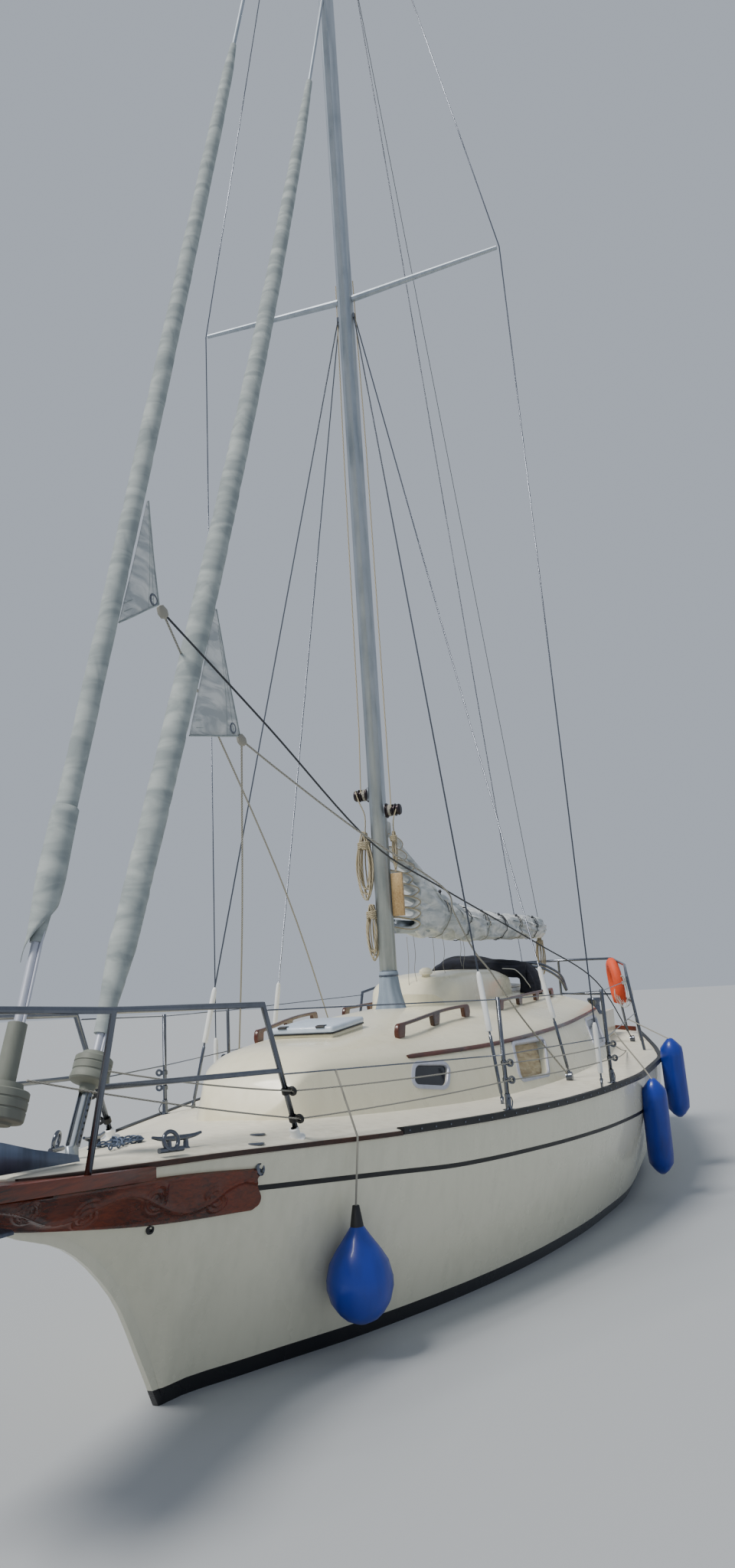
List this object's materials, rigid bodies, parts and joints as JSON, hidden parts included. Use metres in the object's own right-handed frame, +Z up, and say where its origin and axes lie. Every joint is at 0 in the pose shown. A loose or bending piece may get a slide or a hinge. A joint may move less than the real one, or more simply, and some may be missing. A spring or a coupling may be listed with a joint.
{
  "type": "sailing yacht",
  "caption": "Full-keel cutter with a clipper bow, coachroof, furled headsails, flaked mainsail, steering wheel and transom stern.",
  "frame": {"origin": "on the waterline plane, on the centreline, under the mast", "axes": "+X towards the bow, +Y to port, +Z up along the mast"},
  "size_m": [8.94, 3.3004, 13.5571],
  "materials": {
    "gelcoat": "gloss",
    "deck_paint": "satin",
    "teak": "varnished",
    "black_rail": "satin",
    "stainless": "polished",
    "galvanised": "matt",
    "anodised": "satin",
    "sailcloth": "matt",
    "drum_grey": "matt",
    "canvas_navy": "matt",
    "boot_grey": "matt",
    "lid_grey": "satin",
    "bronze": "satin",
    "antifoul": "matt",
    "fender_blue": "satin",
    "life_orange": "matt"
  },
  "bodies": {
    "yacht": {"hull": "gelcoat", "deck": "deck_paint", "cabin_trunk": "gelcoat", "cockpit_tub": "gelcoat", "sea_hood": "gelcoat", "washboards": "teak", "fore_hatch_frame": "gelcoat", "toe_rail_wood_port": "teak", "toe_rail_black_port": "black_rail", "trailboard_port": "teak", "lifelines_port": "stainless", "pushpit_port": "stainless", "grab_rail_fore_port": "teak", "grab_rail_aft_port": "teak", "spreader_port": "anodised", "cap_shroud_port": "stainless", "lower_shrouds_port": "stainless", "cockpit_winch_port": "stainless", "toe_rail_wood_stbd": "teak", "toe_rail_black_stbd": "black_rail", "trailboard_stbd": "teak", "lifelines_stbd": "stainless", "pushpit_stbd": "stainless", "grab_rail_fore_stbd": "teak", "grab_rail_aft_stbd": "teak", "spreader_stbd": "anodised", "cap_shroud_stbd": "stainless", "lower_shrouds_stbd": "stainless", "cockpit_winch_stbd": "stainless", "taffrail": "teak", "bow_platform": "teak", "bow_roller": "stainless", "anchor": "galvanised", "pulpit": "stainless", "mast": "anodised", "mast_boot": "boot_grey", "outer_stay": "anodised", "yankee_roll": "sailcloth", "yankee_drum": "drum_grey", "inner_stay": "anodised", "staysail_roll": "sailcloth", "staysail_drum": "drum_grey", "backstay": "stainless", "sprayhood_folded": "canvas_navy", "steering_pedestal": "gelcoat", "ball_fender": "fender_blue", "fender_port_1": "fender_blue", "fender_port_2": "fender_blue", "lifebuoy": "life_orange"},
    "boom": {"boom": "anodised", "mainsail_flaked": "sailcloth"},
    "rudder": {"rudder": "antifoul"},
    "wheel": {"steering_wheel": "stainless"},
    "propeller": {"propeller": "bronze"},
    "fore_hatch": {"fore_hatch_lid": "lid_grey"},
    "companion_hatch": {"sliding_hatch": "gelcoat"},
    "locker_port": {"locker_lid_port": "gelcoat"},
    "locker_stbd": {"locker_lid_stbd": "gelcoat"}
  },
  "joints": [
    {"name": "rudder_turn", "type": "hinge", "parent": "yacht", "child": "rudder", "pos_m": [-2.87, 0, -1.075], "axis": [-0.5447, 0, 0.8386], "range_deg": [-35, 35]},
    {"name": "wheel_turn", "type": "hinge", "parent": "yacht", "child": "wheel", "pos_m": [-3.33, 0, 1.33], "axis": [1, 0, 0], "range_deg": [-270, 270]},
    {"name": "propeller_spin", "type": "hinge", "parent": "yacht", "child": "propeller", "pos_m": [-3.008, 0, -0.56], "axis": [1, 0, 0], "continuous": true},
    {"name": "boom_swing", "type": "hinge", "parent": "yacht", "child": "boom", "pos_m": [-0.125, 0, 1.985], "axis": [0, 0, 1], "range_deg": [-56, 67]},
    {"name": "fore_hatch_lift", "type": "hinge", "parent": "yacht", "child": "fore_hatch", "pos_m": [1.467, 0, 1.3523], "axis": [0, 1, 0], "range_deg": [0, 100]},
    {"name": "companion_hatch_slide", "type": "slide", "parent": "yacht", "child": "companion_hatch", "axis": [1, 0, 0], "range_m": [0, 0.5]},
    {"name": "locker_port_lift", "type": "hinge", "parent": "yacht", "child": "locker_port", "pos_m": [-3.14, 0.839, 0.8], "axis": [-1, 0, 0], "range_deg": [0, 75]},
    {"name": "locker_stbd_lift", "type": "hinge", "parent": "yacht", "child": "locker_stbd", "pos_m": [-3.14, -0.839, 0.8], "axis": [1, 0, 0], "range_deg": [0, 75]}
  ],
  "couplings": [
    {"joint": "wheel_turn", "follows": "rudder_turn", "ratio": 7.7}
  ]
}
